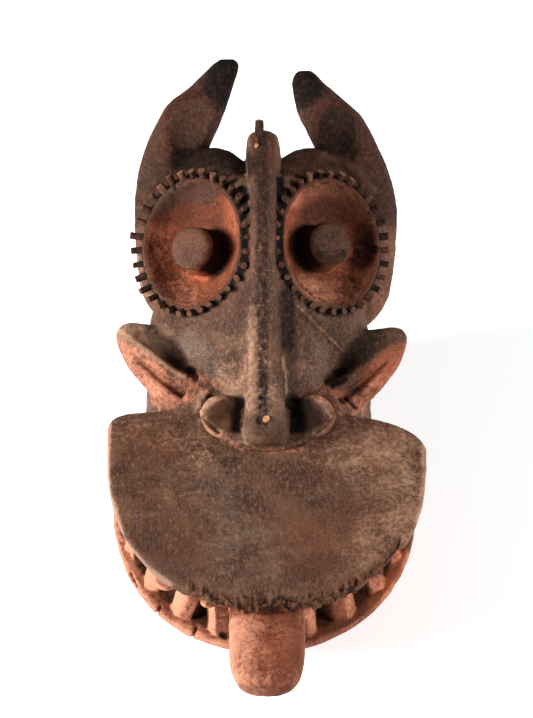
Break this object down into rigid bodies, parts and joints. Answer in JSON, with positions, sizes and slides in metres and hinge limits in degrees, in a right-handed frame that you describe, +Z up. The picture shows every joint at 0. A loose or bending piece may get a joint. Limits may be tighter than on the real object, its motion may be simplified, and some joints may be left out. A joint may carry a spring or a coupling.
{
  "type": "carved helmet mask",
  "caption": "Carved wooden helmet mask worn over the head: a hollow bell with swept horns, dished eyes ringed with pegs, a long nose ridge, ears, and open toothed jaws with a tongue.",
  "frame": {"origin": "middle of the base, on the plane that the bell's rim and the lower jaw's underside rest on", "axes": "+Z up through the bell; the face and the jaws look along -Y; +X is on the right of someone who faces the mask"},
  "size_m": [0.287, 0.5688, 0.3042],
  "materials": {
    "carved_wood": "worn, darkened and rubbed with red pigment",
    "peg_wood": "whittled, dark and matt"
  },
  "bodies": {
    "root": {"carved_mask": "carved_wood", "eye_peg_left_01": "peg_wood", "eye_peg_left_02": "peg_wood", "eye_peg_left_03": "peg_wood", "eye_peg_left_04": "peg_wood", "eye_peg_left_05": "peg_wood", "eye_peg_left_06": "peg_wood", "eye_peg_left_07": "peg_wood", "eye_peg_left_08": "peg_wood", "eye_peg_left_09": "peg_wood", "eye_peg_left_10": "peg_wood", "eye_peg_left_11": "peg_wood", "eye_peg_left_12": "peg_wood", "eye_peg_left_13": "peg_wood", "eye_peg_left_14": "peg_wood", "eye_peg_left_15": "peg_wood", "eye_peg_left_16": "peg_wood", "eye_peg_left_17": "peg_wood", "eye_peg_left_18": "peg_wood", "eye_peg_left_19": "peg_wood", "eye_peg_left_20": "peg_wood", "eye_peg_left_21": "peg_wood", "eye_peg_left_22": "peg_wood", "eye_peg_left_23": "peg_wood", "eye_peg_left_24": "peg_wood", "eye_peg_left_25": "peg_wood", "eye_peg_right_01": "peg_wood", "eye_peg_right_02": "peg_wood", "eye_peg_right_03": "peg_wood", "eye_peg_right_04": "peg_wood", "eye_peg_right_05": "peg_wood", "eye_peg_right_06": "peg_wood", "eye_peg_right_07": "peg_wood", "eye_peg_right_08": "peg_wood", "eye_peg_right_09": "peg_wood", "eye_peg_right_10": "peg_wood", "eye_peg_right_11": "peg_wood", "eye_peg_right_12": "peg_wood", "eye_peg_right_13": "peg_wood", "eye_peg_right_14": "peg_wood", "eye_peg_right_15": "peg_wood", "eye_peg_right_16": "peg_wood", "eye_peg_right_17": "peg_wood", "eye_peg_right_18": "peg_wood", "eye_peg_right_19": "peg_wood", "eye_peg_right_20": "peg_wood", "eye_peg_right_21": "peg_wood", "eye_peg_right_22": "peg_wood", "eye_peg_right_23": "peg_wood", "eye_peg_right_24": "peg_wood", "eye_peg_right_25": "peg_wood", "ridge_peg_top": "peg_wood", "ridge_peg_brow": "peg_wood", "ridge_peg_nose": "peg_wood"}
  },
  "joints": []
}
